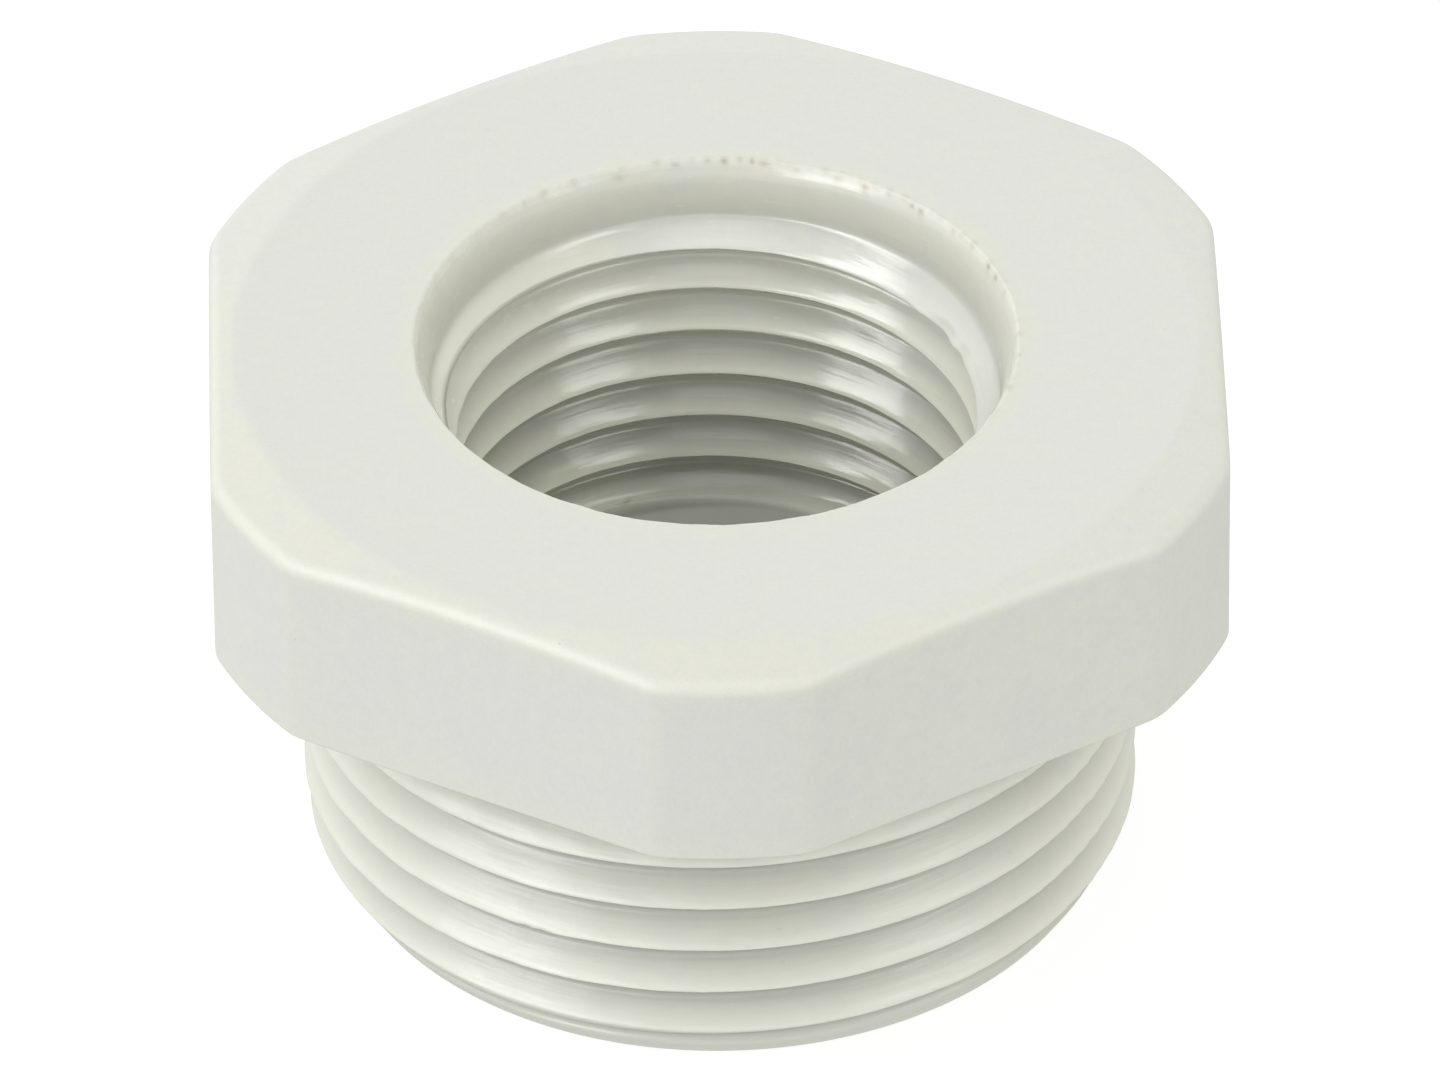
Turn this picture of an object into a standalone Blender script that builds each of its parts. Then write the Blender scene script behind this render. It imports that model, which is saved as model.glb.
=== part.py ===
"""Thread reducer for cable entries, moulded in one piece.

A hexagon flange with turned-down corners carries an outer conduit thread below it
and holds a smaller conduit thread inside it. The part stands on the end of its
outer thread: origin on the axis at that end, +Z up through the flange.
"""
import math

import bmesh
import bpy

MM = 0.001

# flange
FLANGE_AF = 27.0          # across the flats
FLANGE_CORNER_D = 29.1    # the corners are turned down to this diameter
FLANGE_T = 6.1            # thickness of the flange
TOTAL_H = 16.0            # thread end to top face
CHAMFER_START_R = 12.88   # radius on the top face where the corner chamfer starts
CHAMFER_DEG = 13.0        # slope of the corner chamfer
EDGE_R = 0.40             # rounding between the chamfer and the sides

# both threads have 18 turns to the inch, with flats of equal width at crest and root
PITCH = 1.411
THREAD_DEPTH = 0.67
FLAT_W = 0.143

# outer thread, right-handed
OUT_MAJOR_R = 11.25
OUT_ROOT_R = OUT_MAJOR_R - THREAD_DEPTH
OUT_GROOVE_Z = 1.014      # height of a groove's middle at azimuth 0
COLLAR_R = 11.30          # plain collar where the thread runs out under the flange
COLLAR_H = 0.30
END_R = 10.36             # radius of the chamfered thread end
END_CHAMFER_H = 1.41      # height over which the end chamfer reaches the crests

# inner thread, right-handed, between a clearance at the mouth and a plain bore below
IN_ROOT_R = 7.60
IN_MINOR_R = IN_ROOT_R - THREAD_DEPTH
IN_GROOVE_Z = 0.105       # height of a groove's middle at azimuth 0
CLEAR_R = 7.65
MOUTH_DEPTH = 1.60        # the clearance at the mouth, from the top face down
BORE_R = 6.90             # plain bore from the thread end up to the inner thread
BORE_H = 8.00             # height that its cutter reaches, inside the thread's crests
RUN_OUT_Z = 5.00          # the grooves start here and deepen upwards at 45 degrees
RIM_R = 8.08              # mouth of the bore on the top face
RIM_H = 0.25              # steep part of the rounded rim
RIM_BLEND_H = 0.70        # depth at which the rim has run into the clearance

SEGMENTS = 48             # facets round the axis
HALF_FACET = math.pi / SEGMENTS
PAST = 0.5                # how far a cutter runs past what it cuts


def clear_scene():
    for obj in list(bpy.data.objects):
        bpy.data.objects.remove(obj, do_unlink=True)


def collection(name):
    coll = bpy.data.collections.new(name)
    bpy.context.scene.collection.children.link(coll)
    return coll


def as_helper(obj, coll):
    """Keep a cutting or joining shape out of the finished part."""
    for owner in list(obj.users_collection):
        owner.objects.unlink(obj)
    coll.objects.link(obj)
    obj.display_type = 'WIRE'
    obj.hide_render = True
    return obj


def outline_object(name, points, coll):
    """An open outline in the XZ plane, points as (radius, height) in millimetres."""
    mesh = bpy.data.meshes.new(name)
    mesh.from_pydata([(r * MM, 0.0, z * MM) for r, z in points],
                     [(i, i + 1) for i in range(len(points) - 1)], [])
    obj = bpy.data.objects.new(name, mesh)
    coll.objects.link(obj)
    return obj


def turned(name, profile, coll, turn_by=0.0):
    """A solid of revolution: the profile runs from the axis, down its outer side, to the axis."""
    obj = outline_object(name, profile, coll)
    screw = obj.modifiers.new("turn", 'SCREW')
    screw.axis = 'Z'
    screw.angle = math.tau
    screw.steps = SEGMENTS
    screw.render_steps = SEGMENTS
    screw.use_merge_vertices = True
    screw.merge_threshold = 0.00001
    obj.rotation_euler.z = turn_by
    return as_helper(obj, coll)


def threaded_rod(name, groove_r, ridge_r, groove_z, low_z, high_z, coll):
    """A rod with one continuous right-hand thread, reaching past low_z and high_z.

    The outline of one pitch, groove flat, flank, ridge flat and flank, is swept
    along its helix. Each turn ends where the next begins, so the turns weld into one
    surface, and a fan closes each end.
    """
    first = groove_z - PITCH * (math.ceil((groove_z - low_z) / PITCH) + 1)
    turns = math.ceil((high_z - first) / PITCH) + 1
    half_flat = FLAT_W / 2.0
    profile = [(groove_r, -half_flat), (groove_r, half_flat),
               (ridge_r, PITCH / 2.0 - half_flat), (ridge_r, PITCH / 2.0 + half_flat),
               (groove_r, PITCH - half_flat)]
    source = outline_object(name + "_outline", [(r, first + z) for r, z in reversed(profile)], coll)
    screw = source.modifiers.new("helix", 'SCREW')
    screw.axis = 'Z'
    screw.angle = math.tau
    screw.screw_offset = PITCH * MM
    screw.iterations = turns
    screw.steps = SEGMENTS
    screw.render_steps = SEGMENTS
    screw.use_merge_vertices = False
    depsgraph = bpy.context.evaluated_depsgraph_get()
    mesh = bpy.data.meshes.new_from_object(source.evaluated_get(depsgraph))
    mesh.name = name
    bpy.data.objects.remove(source, do_unlink=True)

    bm = bmesh.new()
    bm.from_mesh(mesh)
    bmesh.ops.remove_doubles(bm, verts=bm.verts, dist=0.00001)
    caps = bmesh.ops.holes_fill(bm, edges=[e for e in bm.edges if e.is_boundary], sides=0)
    bmesh.ops.poke(bm, faces=caps["faces"])
    bmesh.ops.recalc_face_normals(bm, faces=bm.faces)
    bm.to_mesh(mesh)
    bm.free()
    obj = bpy.data.objects.new(name, mesh)
    coll.objects.link(obj)
    return as_helper(obj, coll)


def boolean(obj, name, operation, other):
    mod = obj.modifiers.new(name, 'BOOLEAN')
    mod.operation = operation
    mod.solver = 'EXACT'
    mod.object = other
    return mod


def moulded_plastic():
    mat = bpy.data.materials.new("light_grey_polyamide")
    mat.use_nodes = True
    shader = mat.node_tree.nodes["Principled BSDF"]
    shader.inputs["Base Color"].default_value = (0.70, 0.70, 0.66, 1.0)
    shader.inputs["Roughness"].default_value = 0.45
    shader.inputs["Metallic"].default_value = 0.0
    mat.diffuse_color = (0.70, 0.70, 0.66, 1.0)
    return mat


def build():
    clear_scene()
    part = collection("thread_reducer")
    tools = collection("thread_reducer_tools")

    seat_z = TOTAL_H - FLANGE_T
    corner_r = FLANGE_CORNER_D / 2.0
    corner_drop = (corner_r - CHAMFER_START_R) * math.tan(math.radians(CHAMFER_DEG))

    # turned outline of the flange: flat top, corner chamfer, corner diameter
    flange_blank = turned("flange_blank", [
        (0.0, TOTAL_H), (CHAMFER_START_R, TOTAL_H), (corner_r, TOTAL_H - corner_drop),
        (corner_r, seat_z - 2.0 * PAST), (0.0, seat_z - 2.0 * PAST)], tools)

    # everything below the seat is cut from the flange after its edges are rounded
    bpy.ops.mesh.primitive_cube_add(size=1.0, location=(0.0, 0.0, (seat_z - 5.0) * MM))
    below_seat = bpy.context.object
    below_seat.name = "below_seat"
    below_seat.scale = (40.0 * MM, 40.0 * MM, 10.0 * MM)
    as_helper(below_seat, tools)

    # outer thread: a threaded rod, its lower end turned to a cone
    cone = (OUT_MAJOR_R + PAST - END_R) * END_CHAMFER_H / (OUT_MAJOR_R - END_R)
    end_cone = turned("end_cone", [
        (0.0, seat_z + 2.0), (OUT_MAJOR_R + PAST, seat_z + 2.0), (OUT_MAJOR_R + PAST, cone),
        (END_R, 0.0), (0.0, 0.0)], tools, turn_by=HALF_FACET)
    outer_thread = threaded_rod("outer_thread", OUT_ROOT_R, OUT_MAJOR_R, OUT_GROOVE_Z,
                                -PAST, seat_z + 3.0, tools)
    boolean(outer_thread, "turn_end", 'INTERSECT', end_cone)
    collar = turned("collar", [
        (0.0, seat_z + 1.0), (COLLAR_R, seat_z + 1.0), (COLLAR_R, seat_z - COLLAR_H),
        (0.0, seat_z - COLLAR_H)], tools, turn_by=HALF_FACET / 2.0)

    # inner thread with its run-out, mouth and plain bore, cut one after the other
    inner_thread = threaded_rod("inner_thread", IN_MINOR_R, IN_ROOT_R, IN_GROOVE_Z + PITCH / 2.0,
                                RUN_OUT_Z - 2.0 * PAST, TOTAL_H + PAST, tools)
    run_out = turned("run_out", [
        (0.0, TOTAL_H + 4.0), (IN_ROOT_R + PAST, TOTAL_H + 4.0),
        (IN_ROOT_R + PAST, RUN_OUT_Z + IN_ROOT_R + PAST - IN_MINOR_R),
        (IN_MINOR_R - 0.2, RUN_OUT_Z - 0.2), (0.0, RUN_OUT_Z - 0.2)], tools, turn_by=HALF_FACET)
    boolean(inner_thread, "run_thread_out", 'INTERSECT', run_out)
    mouth = turned("mouth", [
        (0.0, TOTAL_H + PAST), (RIM_R + PAST, TOTAL_H + PAST), (RIM_R - RIM_H, TOTAL_H - RIM_H),
        (CLEAR_R, TOTAL_H - RIM_BLEND_H), (CLEAR_R, TOTAL_H - MOUTH_DEPTH),
        (0.0, TOTAL_H - MOUTH_DEPTH)], tools, turn_by=HALF_FACET)
    bore = turned("bore", [
        (0.0, BORE_H), (BORE_R, BORE_H), (BORE_R, -PAST), (0.0, -PAST)], tools,
        turn_by=HALF_FACET / 2.0)

    # the hexagon, longer than the flange at both ends
    bpy.ops.mesh.primitive_cylinder_add(
        vertices=6, radius=FLANGE_AF / 2.0 / math.cos(math.radians(30.0)) * MM,
        depth=(FLANGE_T + 2.0) * MM, location=(0.0, 0.0, (TOTAL_H - FLANGE_T / 2.0) * MM))
    body = bpy.context.object
    body.name = "reducer_body"
    body.data.name = "reducer_body"
    for owner in list(body.users_collection):
        owner.objects.unlink(body)
    part.objects.link(body)

    boolean(body, "turn_corners", 'INTERSECT', flange_blank)
    rounding = body.modifiers.new("edge_rounding", 'BEVEL')
    rounding.width = EDGE_R * MM
    rounding.segments = 2
    rounding.limit_method = 'ANGLE'
    rounding.angle_limit = math.radians(40.0)
    boolean(body, "cut_seat", 'DIFFERENCE', below_seat)
    boolean(body, "add_collar", 'UNION', collar)
    boolean(body, "add_outer_thread", 'UNION', outer_thread)
    boolean(body, "cut_mouth", 'DIFFERENCE', mouth)
    boolean(body, "cut_bore", 'DIFFERENCE', bore)
    boolean(body, "cut_inner_thread", 'DIFFERENCE', inner_thread)

    body.data.materials.append(moulded_plastic())
    body.data.shade_smooth()
    body.data.set_sharp_from_angle(angle=math.radians(20.0))
    return body


build()
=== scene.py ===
"""Looks of the moulded thread reducer: a light grey polyamide body with an outer and an
inner conduit thread, in soft studio light on a plain pale floor. Lengths are in
millimetres in the sections below and become metres when a mesh is made."""
import math

import bpy
import numpy as np
from mathutils import Matrix, Vector


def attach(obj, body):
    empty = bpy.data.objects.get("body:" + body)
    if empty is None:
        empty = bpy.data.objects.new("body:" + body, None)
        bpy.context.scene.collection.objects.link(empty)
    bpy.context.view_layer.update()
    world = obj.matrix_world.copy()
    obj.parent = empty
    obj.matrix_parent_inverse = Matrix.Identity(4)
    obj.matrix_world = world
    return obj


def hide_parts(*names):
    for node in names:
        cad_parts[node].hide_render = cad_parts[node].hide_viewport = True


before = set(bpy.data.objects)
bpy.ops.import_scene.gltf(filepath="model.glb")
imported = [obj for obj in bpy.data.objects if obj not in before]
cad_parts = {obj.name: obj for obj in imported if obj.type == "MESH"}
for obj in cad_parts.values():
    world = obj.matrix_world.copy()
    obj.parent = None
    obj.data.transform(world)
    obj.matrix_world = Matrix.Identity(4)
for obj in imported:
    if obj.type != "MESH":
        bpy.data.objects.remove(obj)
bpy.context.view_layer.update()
MM = 0.001

# ---------------------------------------------------------------- sizes
TOP = 16.0
SEAT = 9.9
AF_R = 13.5               # hexagon, centre to flat
CORNER_R = 14.55          # corners turned to this radius
CHAMFER_R = 12.88         # the corner chamfer starts here on the top face
CHAMFER_A = math.radians(13.0)
EDGE_R = 0.45             # rounding between chamfer and side
PITCH = 1.411
OUT_CREST, OUT_ROOT = 11.25, 10.58
IN_CREST, IN_ROOT = 6.93, 7.60
FLANK = 0.67 / 0.5622     # rise of a flank per millimetre along the axis
HALF_FLAT = 0.0717
OUT_CREST_Z = 0.352       # middle of an outer crest at azimuth 0
IN_CREST_Z = 0.8105       # middle of an inner crest at azimuth 0
END_R, END_CONE_H = 10.36, 1.41
COLLAR_R, COLLAR_Z = 11.30, 9.60   # the thread runs out into a collar under the flange
RUN_OUT_Z = 5.00          # the inner thread's grooves start here, a plain bore below
RIM_R = 8.08


def smin(a, b, k):
    return 0.5 * (a + b - np.sqrt((a - b) ** 2 + k * k))


def smax(a, b, k):
    return 0.5 * (a + b + np.sqrt((a - b) ** 2 + k * k))


def smoothstep(lo, hi, x):
    t = np.clip((x - lo) / (hi - lo), 0.0, 1.0)
    return t * t * (3.0 - 2.0 * t)


def waves(az, seed, low, high, count):
    """A smooth random wobble round the axis, about -1 to 1, the same each run."""
    rng = np.random.RandomState(seed)
    total = 0.0
    for k in rng.randint(low, high, count):
        total = total + np.sin(np.radians(az) * k + rng.uniform(0.0, math.tau)) * rng.uniform(0.5, 1.0)
    return total / math.sqrt(count * 0.3)


def uneven_skin(az, z, seed):
    """Slight unevenness of the moulded thread surfaces, in millimetres."""
    rng = np.random.RandomState(seed)
    total = 0.0
    for _ in range(9):
        k, m = rng.randint(18, 75), rng.uniform(-4.5, 4.5)
        total = total + np.sin(np.radians(az) * k + m * z + rng.uniform(0.0, math.tau)) / k
    return 0.06 * total


def near_az(az, centre, width):
    gap = (np.asarray(az) - centre + 180.0) % 360.0 - 180.0
    return np.exp(-(gap / width) ** 2)


def from_crest(az, z, crest_z):
    """Distance along the axis from the nearest crest middle, signed, up is positive."""
    u = z - crest_z - PITCH * az / 360.0
    return u - PITCH * np.round(u / PITCH)


def ridge(az, z, crest_z, root_k, belly):
    """Height of a thread's ridge over its root: a crisp lower edge on the crest, and an
    upper flank that bellies out, steeper towards the root."""
    d = from_crest(az, z, crest_z)
    lower = (HALF_FLAT + 0.5622 + d) * FLANK
    t = np.clip((d + HALF_FLAT) / (2.0 * HALF_FLAT + 0.5622), 0.0, 1.15)
    upper = (OUT_CREST - OUT_ROOT) * (1.0 - t ** belly)
    return smax(smin(lower, upper, 0.010), 0.0, root_k)


NICKS = ((242.5, 1.13, 0.11, 0.75, 0.16), (241.2, 3.98, 0.05, 0.5, 0.12), (243.8, 4.00, 0.06, 0.6, 0.12),
         (233.5, 2.55, 0.03, 0.5, 0.12), (318.0, 5.30, 0.03, 0.6, 0.14), (282.0, 2.72, 0.02, 0.6, 0.12))


def outer_radius(az, z):
    height = ridge(az, z, OUT_CREST_Z, 0.05, 1.22)
    crest = smoothstep(0.45, 0.67, height)
    # handling marks: nicks in the crests, and a slightly torn stretch on the right
    for nick_az, nick_z, deep, wide, tall in NICKS:
        height = height - crest * deep * near_az(az, nick_az, wide) * np.exp(-((z - nick_z) / tall) ** 2)
    torn = near_az(az, 329.0, 6.0) * 0.016 + 0.003
    height = height - crest * torn * (1.0 + np.sin(np.radians(az) * 97.0 + z * 2.1))
    height = height - crest * 0.006 * waves(az + 23.0 * z, 5, 9, 40, 5)
    cone = END_R + (OUT_CREST - END_R) * z / END_CONE_H
    height = height - 0.012 + uneven_skin(az, z, 41)
    return smin(OUT_ROOT + np.minimum(height, OUT_CREST - OUT_ROOT), cone, 0.02)


def crest_shift(z):
    """The inner crests sit a little higher than an even pitch gives, most near the mouth."""
    return np.interp(z, (4.6, 5.45, 6.2, 6.8, 9.7, 10.9, 12.6, 13.7), (0.0, 0.17, 0.05, 0.035, 0.028, 0.11, 0.11, 0.0))


WALL_Z = (0.0, 13.5, 14.0, 14.4, 14.85, 15.12, 15.40, 15.63, 15.80, 15.92, 16.0)
WALL_R = (6.0, 6.60, 7.20, 7.64, 7.67, 7.71, 7.77, 7.85, 7.94, 8.02, 8.08)


def inner_radius(az, z):
    height = ridge(az, z, IN_CREST_Z, 0.07, 1.28)
    crest = smoothstep(0.40, 0.66, height)
    torn = near_az(az, 27.0, 12.0) * smoothstep(12.9, 13.4, z) * 0.045 + 0.004
    height = height - crest * torn * (1.0 + np.sin(np.radians(az) * 31.0 + np.sin(np.radians(az) * 17.0) + z * 1.7))
    thread = IN_ROOT - height + 0.004 + uneven_skin(az, z, 42)
    thread = smin(thread, IN_CREST + np.maximum(0.0, z - RUN_OUT_Z), 0.05)
    wall = np.interp(z, WALL_Z, WALL_R)
    return smax(thread, wall, 0.05)


# ---------------------------------------------------------------- mesh making
class Skin:
    """Collects rings and strips of one closed surface, faces turned outwards."""

    def __init__(self):
        self.points = []
        self.faces = []

    def ring(self, az, r, z):
        az = np.asarray(az, float)
        r = np.broadcast_to(np.asarray(r, float), az.shape)
        z = np.broadcast_to(np.asarray(z, float), az.shape)
        a = np.radians(az)
        start = len(self.points)
        self.points.extend(zip(r * np.cos(a), r * np.sin(a), z))
        return np.arange(start, start + len(az))

    def face(self, *ids):
        seen = []
        for i in ids:
            if i not in seen:
                seen.append(i)
        if len(seen) > 2:
            self.faces.append(tuple(int(i) for i in seen))

    def strip(self, a, b):
        """Joins two rings of the same count. a is the earlier ring on the way over the
        rim, down the outside, under and up the bore."""
        n = len(a)
        for i in range(n):
            j = (i + 1) % n
            self.face(a[i], b[i], b[j], a[j])

    def zipper(self, a, az_a, b, az_b):
        """Joins two rings of different counts by azimuth."""
        i = j = 0
        na, nb = len(a), len(b)
        az_a = list(az_a) + [az_a[0] + 360.0]
        az_b = list(az_b) + [az_b[0] + 360.0]
        while i < na or j < nb:
            if j >= nb or (i < na and az_a[i + 1] <= az_b[j + 1]):
                self.face(a[i % na], b[j % nb], a[(i + 1) % na])
                i += 1
            else:
                self.face(a[i % na], b[j % nb], b[(j + 1) % nb])
                j += 1

    def helix(self, az, per_turn, crest_z, low, high, low_ring, high_ring, radius, down):
        """A threaded band between two rings. Its rows follow the thread, and rows that
        would pass a ring end on it."""
        n = len(az)
        first = math.floor((low - crest_z) / PITCH) - 2
        last = math.ceil((high - crest_z) / PITCH) + 2
        heights = np.array([crest_z + PITCH * t + d for t in range(first, last) for d in per_turn])
        shift = len(per_turn)
        gap = 0.012
        ids = np.empty((n + 1, len(heights)), int)
        for j in range(n):
            z = heights + PITCH * az[j] / 360.0
            inside = (z > low + gap) & (z < high - gap)
            r = radius(az[j], z)
            a = math.radians(az[j])
            for k in range(len(heights)):
                if inside[k]:
                    ids[j, k] = len(self.points)
                    lifted = z[k] + (0.0 if down else float(crest_shift(z[k])))
                    self.points.append((r[k] * math.cos(a), r[k] * math.sin(a), lifted))
                else:
                    ids[j, k] = low_ring[j] if z[k] <= low + gap else high_ring[j]
        ids[n, :] = high_ring[0]
        ids[n, :len(heights) - shift] = ids[0, shift:]
        for j in range(n):
            for k in range(len(heights) - shift - 1):
                q = (ids[j, k], ids[j + 1, k], ids[j + 1, k + 1], ids[j, k + 1])
                self.face(*(q if down else q[::-1]))

    def mesh(self, name):
        mesh = bpy.data.meshes.new(name)
        mesh.from_pydata([(x * MM, y * MM, z * MM) for x, y, z in self.points], [], self.faces)
        mesh.validate()
        mesh.update()
        return mesh


# brown specks along the torn edge of the rim: azimuth, half width in degrees, height, strength
SPECKS = ((87.0, 0.7, 15.93, 0.9), (81.6, 0.5, 15.95, 0.9), (79.3, 1.2, 15.92, 0.7), (72.8, 0.9, 15.82, 0.6),
          (58.5, 0.8, 15.84, 1.0), (47.3, 0.6, 15.88, 0.8), (45.1, 0.8, 15.87, 0.8), (22.8, 0.7, 15.88, 1.0),
          (19.2, 0.8, 15.88, 0.8), (107.8, 1.0, 15.80, 0.4), (96.5, 0.9, 15.88, 0.45), (64.5, 1.0, 15.86, 0.55),
          (90.2, 0.6, 15.95, 0.5), (84.0, 0.6, 15.97, 0.45), (53.0, 0.7, 15.90, 0.35), (36.0, 0.8, 15.90, 0.4),
          (29.5, 0.6, 15.92, 0.4), (117.0, 0.8, 15.90, 0.3), (128.5, 0.7, 15.92, 0.3), (14.0, 0.7, 15.90, 0.4))


def flaws(x, y, z):
    """Strength of the brown marks at the given points, in millimetres."""
    az, r = np.degrees(np.arctan2(y, x)) % 360.0, np.hypot(x, y)
    total = np.zeros_like(x)
    for speck_az, wide, height, strength in SPECKS:
        down = np.where(z > 15.97, np.maximum(0.0, r - RIM_R - 0.02), 0.0) / 0.06
        total = np.maximum(total, strength * near_az(az, speck_az, wide)
                           * np.exp(-((z - height) / 0.07) ** 2 - down ** 2))
    faint = 0.13 * np.maximum(0.0, waves(az, 31, 15, 110, 11)) * smoothstep(-0.7, 0.6, np.sin(np.radians(az + 40.0)))
    total = np.maximum(total, faint * np.exp(-((r - RIM_R) / 0.09) ** 2) * (z > 15.84))
    bore_spot = near_az(az, 110.0, 0.9) * np.exp(-((z - 5.55) / 0.06) ** 2) * (r < 7.7)
    return np.maximum(total * (r < 8.5), 0.8 * bore_spot)


def flange_azimuths():
    """Columns for the flange, closer together at the edges between flats and corners."""
    edge = math.degrees(math.acos(AF_R / CORNER_R))
    near = (-2.4, -1.7, -1.15, -0.7, -0.3, 0.0, 0.3, 0.7, 1.15, 1.7, 2.4)
    sector = [1.5 * d for d in range(40) if abs(1.5 * d - edge) > 3.0 and abs(1.5 * d - (60.0 - edge)) > 3.0]
    sector += [edge + e for e in near] + [60.0 - edge + e for e in near]
    return np.array(sorted(d + 60.0 * s for s in range(6) for d in sector))


def plan_radius(az):
    """Outline of the flange in plan, the edges slightly rounded."""
    off = np.radians((np.asarray(az) + 30.0) % 60.0 - 30.0)
    return smin(AF_R / np.cos(off), CORNER_R, 0.09)


def flange_profile(plan):
    """Radial sections of the flange, from the chamfer's start to the underside."""
    rows = []
    slope = math.tan(CHAMFER_A)

    def chamfer_z(r):
        return TOP - slope * (smax(r - CHAMFER_R, 0.0, 0.06) - 0.005)

    for r in (12.60, 12.76, 12.84, 12.90, 13.0):
        rows.append((np.full_like(plan, r), np.minimum(TOP, chamfer_z(np.full_like(plan, r)))))
    centre_r = plan - EDGE_R
    tangent_r = centre_r + EDGE_R * math.sin(CHAMFER_A)
    tangent_z = TOP - (tangent_r - CHAMFER_R) * slope
    centre_z = tangent_z - EDGE_R * math.cos(CHAMFER_A)
    for t in (0.45, 0.85):
        r = 13.0 + (tangent_r - 13.0) * t
        rows.append((r, TOP - (r - CHAMFER_R) * slope))
    for i in range(9):
        a = (math.pi / 2.0 - CHAMFER_A) * (1.0 - i / 8.0)
        rows.append((centre_r + EDGE_R * math.cos(a), centre_z + EDGE_R * math.sin(a)))
    for z in (-0.10, -0.35):
        rows.append((plan, centre_z + z))
    for z in (13.0, 11.5, 10.4, 10.06, 9.96, 9.92):
        rows.append((plan, np.full_like(plan, z)))
    for inset in (0.02, 0.06, 0.16):
        rows.append((plan - inset, np.full_like(plan, SEAT)))
    rows.append((np.full_like(plan, 12.4), np.full_like(plan, SEAT)))
    return rows


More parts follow.
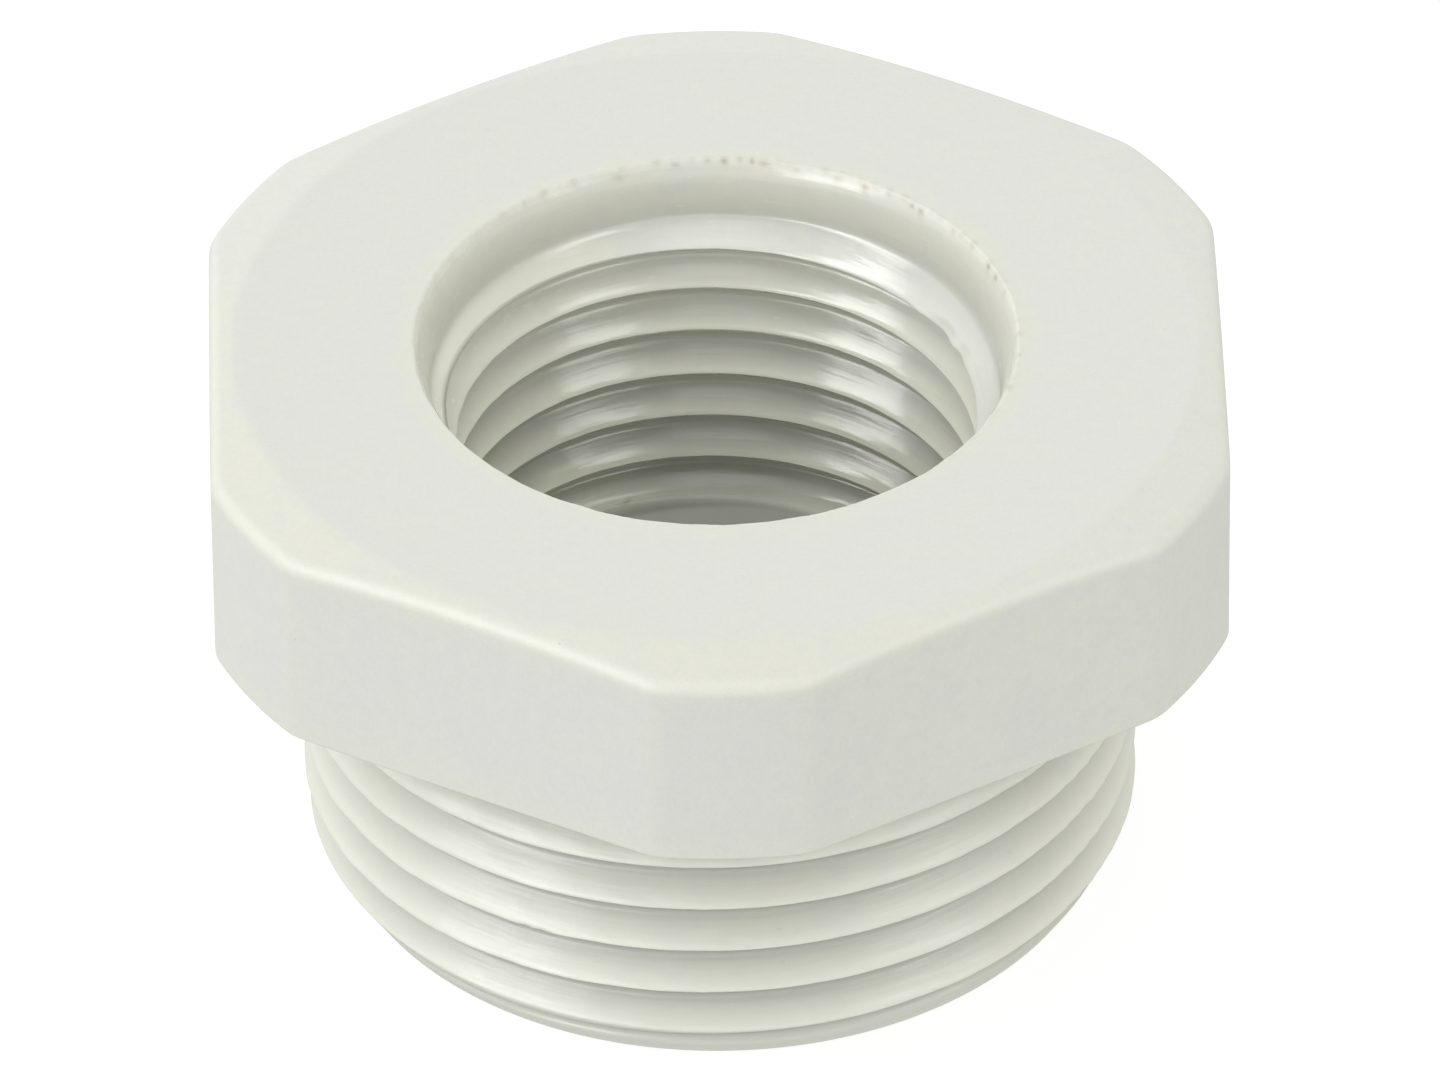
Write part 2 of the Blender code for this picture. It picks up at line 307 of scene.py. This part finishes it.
def body_mesh():
    skin = Skin()
    flange_az = flange_azimuths()
    outer_az = np.arange(300) * 1.2
    inner_az = np.arange(240) * 1.5

    # mouth of the bore and top face
    def inner_ring(r, z):
        return skin.ring(inner_az, r, z)

    wall = [inner_ring(inner_radius(inner_az, np.full(240, z)), z)
            for z in (14.85, 15.12, 15.40, 15.63, 15.80)]
    for a, b in zip(wall, wall[1:]):
        skin.strip(a, b)

    # the rim's edge, uneven, with a thin raised lip of flash
    rim_az = np.arange(960) * 0.375
    uneven = (0.022 * waves(rim_az, 21, 9, 50, 7) + 0.007 * waves(rim_az, 22, 50, 200, 11)) \
        * (0.55 + 0.45 * waves(rim_az, 23, 3, 12, 4) ** 2)
    calm = 0.35 + 0.65 * smoothstep(-0.9, 0.3, np.sin(np.radians(rim_az + 15.0)))
    uneven = uneven * calm
    lip = 0.004 + 0.011 * calm * np.maximum(0.0, waves(rim_az, 24, 20, 120, 8)) ** 1.5
    lip = np.minimum(lip, 0.04)
    rim = [skin.ring(rim_az, r, z) for r, z in (
        (np.interp(15.87, WALL_Z, WALL_R) + 0.2 * uneven, 15.87),
        (np.interp(15.94, WALL_Z, WALL_R) - 0.012 + 0.6 * uneven, 15.94),
        (RIM_R - 0.025 + uneven, TOP - 0.012 + 0.4 * lip),
        (RIM_R + 0.010 + uneven, TOP + lip),
        (RIM_R + 0.055 + 0.8 * uneven, TOP + 0.55 * lip),
        (RIM_R + 0.13 + 0.4 * uneven, TOP + 0.1 * lip),
        (np.full(960, RIM_R + 0.22), np.full(960, TOP)))]
    skin.zipper(wall[-1], inner_az, rim[0], rim_az)
    for a, b in zip(rim, rim[1:]):
        skin.strip(a, b)
    face = [inner_ring(8.55, TOP), inner_ring(9.6, TOP)]
    skin.zipper(rim[-1], rim_az, face[0], inner_az)
    skin.strip(face[0], face[1])

    # flange
    plan = plan_radius(flange_az)
    flange = [skin.ring(flange_az, 11.4, TOP)]
    flange += [skin.ring(flange_az, r, z) for r, z in flange_profile(plan)]
    skin.zipper(face[1], inner_az, flange[0], flange_az)
    for a, b in zip(flange, flange[1:]):
        skin.strip(a, b)

    # underside, outer thread and thread end
    seat = skin.ring(outer_az, 11.6, SEAT)
    skin.zipper(flange[-1], flange_az, seat, outer_az)
    collar = [seat] + [skin.ring(outer_az, r, z) for r, z in (
        (COLLAR_R + 0.10, SEAT), (COLLAR_R + 0.03, SEAT - 0.03), (COLLAR_R, SEAT - 0.10),
        (COLLAR_R, COLLAR_Z + 0.03), (COLLAR_R - 0.03, COLLAR_Z))]
    for a, b in zip(collar, collar[1:]):
        skin.strip(a, b)
    top_ring = skin.ring(outer_az, outer_radius(outer_az, np.full(300, COLLAR_Z - 0.01)), COLLAR_Z - 0.01)
    skin.strip(collar[-1], top_ring)
    low = 0.03
    low_ring = skin.ring(outer_az, outer_radius(outer_az, np.full(300, low)), low)
    below = (-0.65, -0.60, -0.52, -0.30, -0.095, -0.078, -0.070, -0.06)
    above = (0.0, 0.04, 0.07, 0.10, 0.14, 0.20, 0.32, 0.46, 0.56, 0.61, 0.65)
    per_turn = list(below) + list(above) + [PITCH / 2.0]
    skin.helix(outer_az, per_turn, OUT_CREST_Z, low, COLLAR_Z - 0.01, low_ring, top_ring, outer_radius, True)
    end = [low_ring, skin.ring(outer_az, END_R - 0.03, 0.0), skin.ring(outer_az, END_R - 0.12, 0.0),
           skin.ring(outer_az, 9.4, 0.0)]
    for a, b in zip(end, end[1:]):
        skin.strip(a, b)
    inner_end = inner_ring(8.2, 0.0)
    skin.zipper(end[-1], outer_az, inner_end, inner_az)

    # plain bore and inner thread
    plain = [inner_end] + [inner_ring(IN_CREST + r, z) for r, z in (
        (0.22, 0.0), (0.16, 0.02), (0.05, 0.10), (0.0, 0.24), (0.0, 0.5), (0.0, 2.5), (0.0, 4.3))]
    for a, b in zip(plain, plain[1:]):
        skin.strip(a, b)
    start = 4.60
    start_ring = inner_ring(inner_radius(inner_az, np.full(240, start)), start)
    skin.strip(plain[-1], start_ring)
    above = (0.0, 0.04, 0.07, 0.10, 0.14, 0.20, 0.32, 0.46, 0.56, 0.61)
    per_turn = [-0.60, -0.50, -0.30, -0.095, -0.078, -0.070, -0.06] + list(above) + [PITCH / 2.0]
    skin.helix(inner_az, per_turn, IN_CREST_Z, start, 14.85, start_ring, wall[0], inner_radius, False)
    return skin.mesh("reducer")


# ---------------------------------------------------------------- material
class Graph:
    """Short names for the node maths of one material. Lengths in it are millimetres."""

    def __init__(self, tree):
        self.tree = tree

    def node(self, kind, **settings):
        node = self.tree.nodes.new(kind)
        for key, value in settings.items():
            setattr(node, key, value)
        return node

    def put(self, socket, value):
        if isinstance(value, bpy.types.NodeSocket):
            self.tree.links.new(value, socket)
        else:
            socket.default_value = value

    def math(self, op, *values, clamp=False):
        node = self.node("ShaderNodeMath", operation=op, use_clamp=clamp)
        for socket, value in zip(node.inputs, values):
            self.put(socket, value)
        return node.outputs[0]

    def add(self, *values):
        total = values[0]
        for value in values[1:]:
            total = self.math('ADD', total, value)
        return total

    def mul(self, *values):
        total = values[0]
        for value in values[1:]:
            total = self.math('MULTIPLY', total, value)
        return total

    def largest(self, *values):
        total = values[0]
        for value in values[1:]:
            total = self.math('MAXIMUM', total, value)
        return total

    def ramp(self, value, low, high, to_low=0.0, to_high=1.0, smooth=True):
        node = self.node("ShaderNodeMapRange", interpolation_type='SMOOTHSTEP' if smooth else 'LINEAR')
        for name, number in (("Value", value), ("From Min", low), ("From Max", high),
                             ("To Min", to_low), ("To Max", to_high)):
            self.put(node.inputs[name], number)
        return node.outputs["Result"]

    def join(self, x, y, z):
        node = self.node("ShaderNodeCombineXYZ")
        for socket, value in zip(node.inputs, (x, y, z)):
            self.put(socket, value)
        return node.outputs[0]

    def noise(self, vector, scale, detail=1.0, roughness=0.5):
        """Noise from 0 to 1 with its middle near 0.5."""
        node = self.node("ShaderNodeTexNoise")
        self.put(node.inputs["Vector"], vector)
        node.inputs["Scale"].default_value = scale
        node.inputs["Detail"].default_value = detail
        node.inputs["Roughness"].default_value = roughness
        return node.outputs[0]

    def blend(self, amount, first, second):
        node = self.node("ShaderNodeMix", data_type='RGBA')
        self.put(node.inputs[0], amount)
        self.put(node.inputs[6], first)
        self.put(node.inputs[7], second)
        return node.outputs[2]

    def blend_value(self, amount, first, second):
        return self.add(first, self.mul(amount, self.math('SUBTRACT', second, first)))

    def shade(self, color, amount):
        """A colour made brighter or darker by an amount around 1."""
        node = self.node("ShaderNodeVectorMath", operation='SCALE')
        self.put(node.inputs[0], color)
        self.put(node.inputs["Scale"], amount)
        return node.outputs[0]


def plastic():
    mat = bpy.data.materials.new("light_grey_polyamide")
    mat.use_nodes = True
    g = Graph(mat.node_tree)
    shader = mat.node_tree.nodes["Principled BSDF"]
    where = g.node("ShaderNodeTexCoord").outputs["Object"]
    scale = g.node("ShaderNodeVectorMath", operation='SCALE')
    g.put(scale.inputs[0], where)
    scale.inputs["Scale"].default_value = 1000.0
    p = scale.outputs[0]
    split = g.node("ShaderNodeSeparateXYZ")
    g.put(split.inputs[0], p)
    x, y, z = split.outputs
    r = g.math('SQRT', g.add(g.mul(x, x), g.mul(y, y)))
    az = g.math('ARCTAN2', y, x)

    # places on the part
    sixth = g.mul(az, 3.0 / math.pi)
    off = g.mul(g.math('ABSOLUTE', g.math('SUBTRACT', sixth, g.math('ROUND', sixth))), 60.0)
    outside = g.ramp(r, 12.5, 13.3)
    at_flange = g.ramp(z, 9.80, 9.92)
    drop = g.add(z, g.mul(r, math.tan(CHAMFER_A)), -TOP - CHAMFER_R * math.tan(CHAMFER_A))
    top_edge = g.mul(g.ramp(drop, -0.95, -0.15), outside)
    low_edge = g.mul(g.ramp(z, 11.0, 10.0), outside, at_flange)
    upright = g.mul(g.math('EXPONENT', g.mul(g.math('POWER', g.mul(g.add(off, -21.9), 1.0 / 1.5), 2.0), -1.0)), outside)
    top_zone = g.ramp(z, 15.55, 15.85)
    halo = g.mul(g.ramp(r, 8.95, 8.15), top_zone)
    threads = g.largest(g.ramp(z, 9.93, 9.83), g.ramp(r, 8.04, 7.92))

    # creamier tint: on the threads the plastic's own smoother skin; on the edges, the rim's halo and the right side
    # faces a painted warm glow of light through the translucent plastic, strongest at the front of the top edge and
    # less on the bore's first turn; greyer fine-grained faces
    cloud = g.noise(p, 0.7, 0.0)
    mottle = g.noise(p, 2.6, 1.0, 0.6)
    right_side = g.mul(g.ramp(x, 1.0, 5.0), outside, g.ramp(drop, -0.25, -0.75), 0.42)
    top_edge = g.mul(top_edge, g.ramp(x, 4.0, 11.0, 0.95, 0.55), g.ramp(y, 5.5, 0.5, 0.15, 1.0))
    # the painted glow on the edges and the threads' own creamier tint join here
    cream_and_glow = g.largest(top_edge, g.mul(low_edge, 0.7), g.mul(upright, 0.45), g.mul(halo, 0.8), threads, right_side)
    first_turn = g.mul(g.ramp(z, 13.1, 13.7), g.ramp(z, 14.8, 14.3), g.ramp(r, 8.02, 7.92), -0.75)
    cream_and_glow = g.add(cream_and_glow, g.mul(first_turn, g.ramp(x, -4.2, -1.5)), g.mul(g.add(cloud, -0.5), 0.9), g.mul(g.add(mottle, -0.5), 0.8))
    cream_and_glow = g.math('MULTIPLY', cream_and_glow, 1.0, clamp=True)
    color = g.blend(cream_and_glow, (0.616, 0.622, 0.588, 1.0), (0.632, 0.640, 0.563, 1.0))

    # painted shade and light on the threads: the roots are painted darker than the crests, as the shade in the grooves,
    # more so down the bore, and the inner crests carry painted light
    def flank(crest_z):
        h = g.add(z, g.mul(az, -PITCH / math.tau), -crest_z)
        return g.math('SUBTRACT', h, g.mul(g.math('ROUND', g.mul(h, 1.0 / PITCH)), PITCH))

    outer_u, inner_u = flank(OUT_CREST_Z), flank(IN_CREST_Z + 0.03)
    def root(u):
        """Where the painted groove shade goes: 0 on a crest's middle, 1 at the roots and under the crests."""
        above = g.add(g.mul(g.ramp(u, 0.02, 0.64, smooth=False), 0.75), g.mul(g.ramp(u, 0.50, 0.65), 0.25))
        return g.largest(above, g.ramp(u, -0.08, -0.42))

    # painted shade in the outer thread's grooves, lighter near the thread's end
    outer_groove_painted_shade = g.add(1.025, g.mul(root(outer_u), g.ramp(z, 0.4, 1.0, 0.45, 1.0), -0.36))
    # painted shade at the inner thread's roots, darker down the bore
    depth = g.ramp(z, 13.9, 5.6, 0.0, 1.0, False)
    root_painted_shade = g.ramp(depth, 0.0, 1.0, 0.92, 0.64, False)
    # painted light on the inner crests, brightest part way down, less on the first turn
    crest_painted_light = g.add(g.ramp(depth, 0.0, 1.0, 1.23, 1.13, False),
                       g.mul(g.ramp(z, 13.0, 11.4), g.ramp(z, 7.0, 9.6), 0.16), g.mul(g.ramp(z, 13.2, 13.7), -0.12))
    slope = g.largest(g.ramp(inner_u, -0.02, 0.52, smooth=False), g.ramp(inner_u, -0.08, -0.42))
    inner_painted_light_shade = g.blend_value(slope, crest_painted_light, root_painted_shade)
    # painted light on the left and right sides of the bore's deep turns
    sides = g.mul(g.ramp(z, 8.2, 6.4), g.ramp(g.math('ABSOLUTE', x), 0.8, 3.2), 0.22)
    inner_painted_light_shade = g.mul(inner_painted_light_shade, g.add(1.0, sides))
    in_thread = g.mul(g.ramp(z, 14.5, 14.2), g.ramp(z, 4.95, 5.10))
    # painted shade on the mouth's wall and the plain bore below the thread
    mouth_painted_shade = g.ramp(z, 14.4, 15.9, 0.88, 0.93, False)
    inner_painted_light_shade = g.add(g.mul(inner_painted_light_shade, in_thread), g.mul(mouth_painted_shade, g.math('SUBTRACT', 1.0, in_thread)))
    in_bore = g.ramp(r, 8.02, 7.92)
    on_outer = g.mul(g.ramp(z, 9.65, 9.5), g.ramp(r, 10.0, 10.3))
    # the painted shade and light go into the colour here, with the random grain and mottle
    painted_shade_and_grain = g.add(1.0, g.mul(in_bore, g.add(inner_painted_light_shade, -1.0)), g.mul(on_outer, g.add(outer_groove_painted_shade, -1.0)))
    grain = g.noise(p, 9.5, 1.0, 0.6)
    faces = g.math('SUBTRACT', 1.0, threads)
    painted_shade_and_grain = g.add(painted_shade_and_grain, g.mul(g.add(grain, -0.5), g.add(0.03, g.mul(faces, 0.05))), g.mul(g.add(mottle, -0.5), 0.035))
    color = g.shade(color, painted_shade_and_grain)

    # tiny dark pits on the faces, and the brown specks
    pit = g.mul(g.ramp(grain, 0.75, 0.81), faces, 0.30)
    color = g.blend(pit, color, (0.30, 0.29, 0.24, 1.0))
    flaw = g.node("ShaderNodeAttribute", attribute_name="flaw").outputs["Fac"]
    color = g.blend(g.mul(flaw, 0.80), color, (0.30, 0.23, 0.13, 1.0))
    g.put(shader.inputs["Base Color"], color)

    # streaks of the mould's turning along the threads, and a slight unevenness
    u = g.blend_value(in_bore, outer_u, inner_u)
    streak = g.noise(g.join(g.mul(x, 0.45), g.mul(y, 0.45), g.add(g.mul(u, 9.0), g.mul(z, 1.1))), 1.0, 1.0, 0.6)
    rough = g.add(0.50, g.mul(threads, g.ramp(r, 8.5, 9.5, -0.30, -0.13)), g.mul(threads, g.add(streak, -0.5), 0.26),
                  g.mul(threads, g.add(mottle, -0.5), 0.14))
    g.put(shader.inputs["Roughness"], rough)
    shader.inputs["IOR"].default_value = 1.5

    height = g.add(g.mul(grain, g.add(0.0028, g.mul(threads, -0.0010))), g.mul(threads, streak, g.ramp(z, 14.6, 14.2, 0.003, 0.0065)))
    bump = g.node("ShaderNodeBump")
    bump.inputs["Strength"].default_value = 1.0
    bump.inputs["Distance"].default_value = 0.001
    g.put(bump.inputs["Height"], height)
    g.put(shader.inputs["Normal"], bump.outputs[0])
    return mat


body = bpy.data.objects.new("reducer_moulding", body_mesh())
bpy.context.scene.collection.objects.link(body)
body.data.shade_smooth()
body.data.materials.append(plastic())
spots = np.empty(len(body.data.vertices) * 3)
body.data.vertices.foreach_get("co", spots)
spots = spots.reshape(-1, 3) / MM
body.data.attributes.new("flaw", 'FLOAT', 'POINT').data.foreach_set("value", flaws(*spots.T))
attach(body, "root")
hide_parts("reducer_body")

# ---------------------------------------------------------------- floor
def plane(name, z, color, roughness, glow):
    mesh = bpy.data.meshes.new(name)
    side = 3.0
    mesh.from_pydata([(-side, -side, z), (side, -side, z), (side, side, z), (-side, side, z)], [], [(0, 1, 2, 3)])
    obj = bpy.data.objects.new(name, mesh)
    bpy.context.scene.collection.objects.link(obj)
    mat = bpy.data.materials.new(name)
    mat.use_nodes = True
    shader = mat.node_tree.nodes["Principled BSDF"]
    shader.inputs["Base Color"].default_value = (color, color, color, 1.0)
    shader.inputs["Roughness"].default_value = roughness
    shader.inputs["Emission Color"].default_value = (1.0, 1.0, 1.0, 1.0)
    shader.inputs["Emission Strength"].default_value = glow
    mesh.materials.append(mat)
    return obj


# the white table as it is seen, and a greyer one that the light bounces off
floor = plane("floor", -0.00002, 0.24, 0.9, 0.80)
floor.visible_diffuse = floor.visible_glossy = floor.visible_shadow = False
bounce = plane("floor_bounce", -0.00004, 0.0, 1.0, 0.60)
bounce.visible_camera = False

# ---------------------------------------------------------------- camera
YAW, PITCH_DOWN, ROLL = math.radians(0.008), math.radians(37.777), math.radians(-0.580)
AZ_SHIFT = math.radians(-1.03)
place = Vector((0.0, -426.5, 339.79)) * MM
ahead = Vector((math.sin(YAW) * math.cos(PITCH_DOWN), math.cos(YAW) * math.cos(PITCH_DOWN), -math.sin(PITCH_DOWN)))
right = ahead.cross(Vector((0.0, 0.0, 1.0))).normalized()
up = right.cross(ahead)
right, up = (math.cos(ROLL) * right + math.sin(ROLL) * up, -math.sin(ROLL) * right + math.cos(ROLL) * up)
turn = Matrix.Rotation(AZ_SHIFT, 3, 'Z')
place, right, up, ahead = turn @ place, turn @ right, turn @ up, turn @ ahead
camera = bpy.data.objects.new("camera", bpy.data.cameras.new("camera"))
bpy.context.scene.collection.objects.link(camera)
pose = Matrix((right, up, -ahead)).transposed().to_4x4()
pose.translation = place
camera.matrix_world = pose
camera.data.sensor_fit = 'HORIZONTAL'
camera.data.sensor_width = 36.0
camera.data.lens = 20118.4 * 36.0 / 1440.0
camera.data.clip_start = 0.01
camera.data.clip_end = 20.0
bpy.context.scene.camera = camera


# ---------------------------------------------------------------- light
def softbox(name, direction, distance, width, height, power, gloss_only=False):
    data = bpy.data.lights.new(name, 'AREA')
    data.shape = 'RECTANGLE'
    data.size = width
    data.size_y = height
    data.energy = power
    obj = bpy.data.objects.new(name, data)
    bpy.context.scene.collection.objects.link(obj)
    d = Vector(direction).normalized()
    obj.location = d * distance
    obj.rotation_euler = d.to_track_quat('Z', 'Y').to_euler()
    obj.visible_diffuse = not gloss_only
    return obj


softbox("gloss_left", (-0.74, -0.35, 0.575), 1.0, 0.50, 0.38, 4.6, gloss_only=True)
softbox("gloss_right", (0.66, -0.48, 0.575), 1.0, 0.48, 0.36, 2.5, gloss_only=True)
softbox("gloss_low", (-0.63, -0.69, 0.34), 1.0, 0.56, 0.26, 3.0, gloss_only=True)
softbox("gloss_middle", (0.0, -0.47, 0.88), 1.05, 0.50, 0.35, 0.9, gloss_only=True)

# a white tent lit from its sides, most from the left, less from behind and overhead
HEIGHTS = (0.0, 0.3, 0.55, 0.8, 1.0)
OVERHEAD = 1.20
TENT = {  # brightness at those heights, for the four sides of the tent
    "front": (1.71, 1.91, 1.22, 0.30), "left": (2.13, 2.18, 1.94, 1.39),
    "right": (1.59, 1.41, 1.12, 0.82), "back": (1.77, 1.47, 0.95, 0.68)}
FULL = 2.5
world = bpy.data.worlds.new("studio")
world.use_nodes = True
w = Graph(world.node_tree)
split = w.node("ShaderNodeSeparateXYZ")
w.put(split.inputs[0], w.node("ShaderNodeTexCoord").outputs["Generated"])
x, y, z = split.outputs
flat = w.math('MAXIMUM', w.add(w.mul(x, x), w.mul(y, y)), 0.000001)
total = None
for side, axis, sign in (("front", y, -1.0), ("left", x, -1.0), ("right", x, 1.0), ("back", y, 1.0)):
    ramp = w.node("ShaderNodeValToRGB")
    stops = ramp.color_ramp
    levels = TENT[side] + (OVERHEAD,)
    for i, (height, level) in enumerate(zip(HEIGHTS, levels)):
        stop = stops.elements[0] if i == 0 else (stops.elements[-1] if i == 4 else stops.elements.new(height))
        stop.position = height
        warm = 0.95 if side == "right" else 1.0
        stop.color = (level / FULL, level / FULL, level / FULL * warm, 1.0)
    w.put(ramp.inputs[0], z)
    facing = w.math('MAXIMUM', w.mul(axis, sign), 0.0)
    share = w.math('DIVIDE', w.mul(facing, facing), flat)
    part = w.shade(ramp.outputs["Color"], share)
    if total is None:
        total = part
    else:
        both = w.node("ShaderNodeVectorMath", operation='ADD')
        w.put(both.inputs[0], total)
        w.put(both.inputs[1], part)
        total = both.outputs[0]
background = world.node_tree.nodes["Background"]
w.put(background.inputs["Color"], total)
background.inputs["Strength"].default_value = FULL
bpy.context.scene.world = world
bpy.context.scene.view_settings.view_transform = 'Standard'
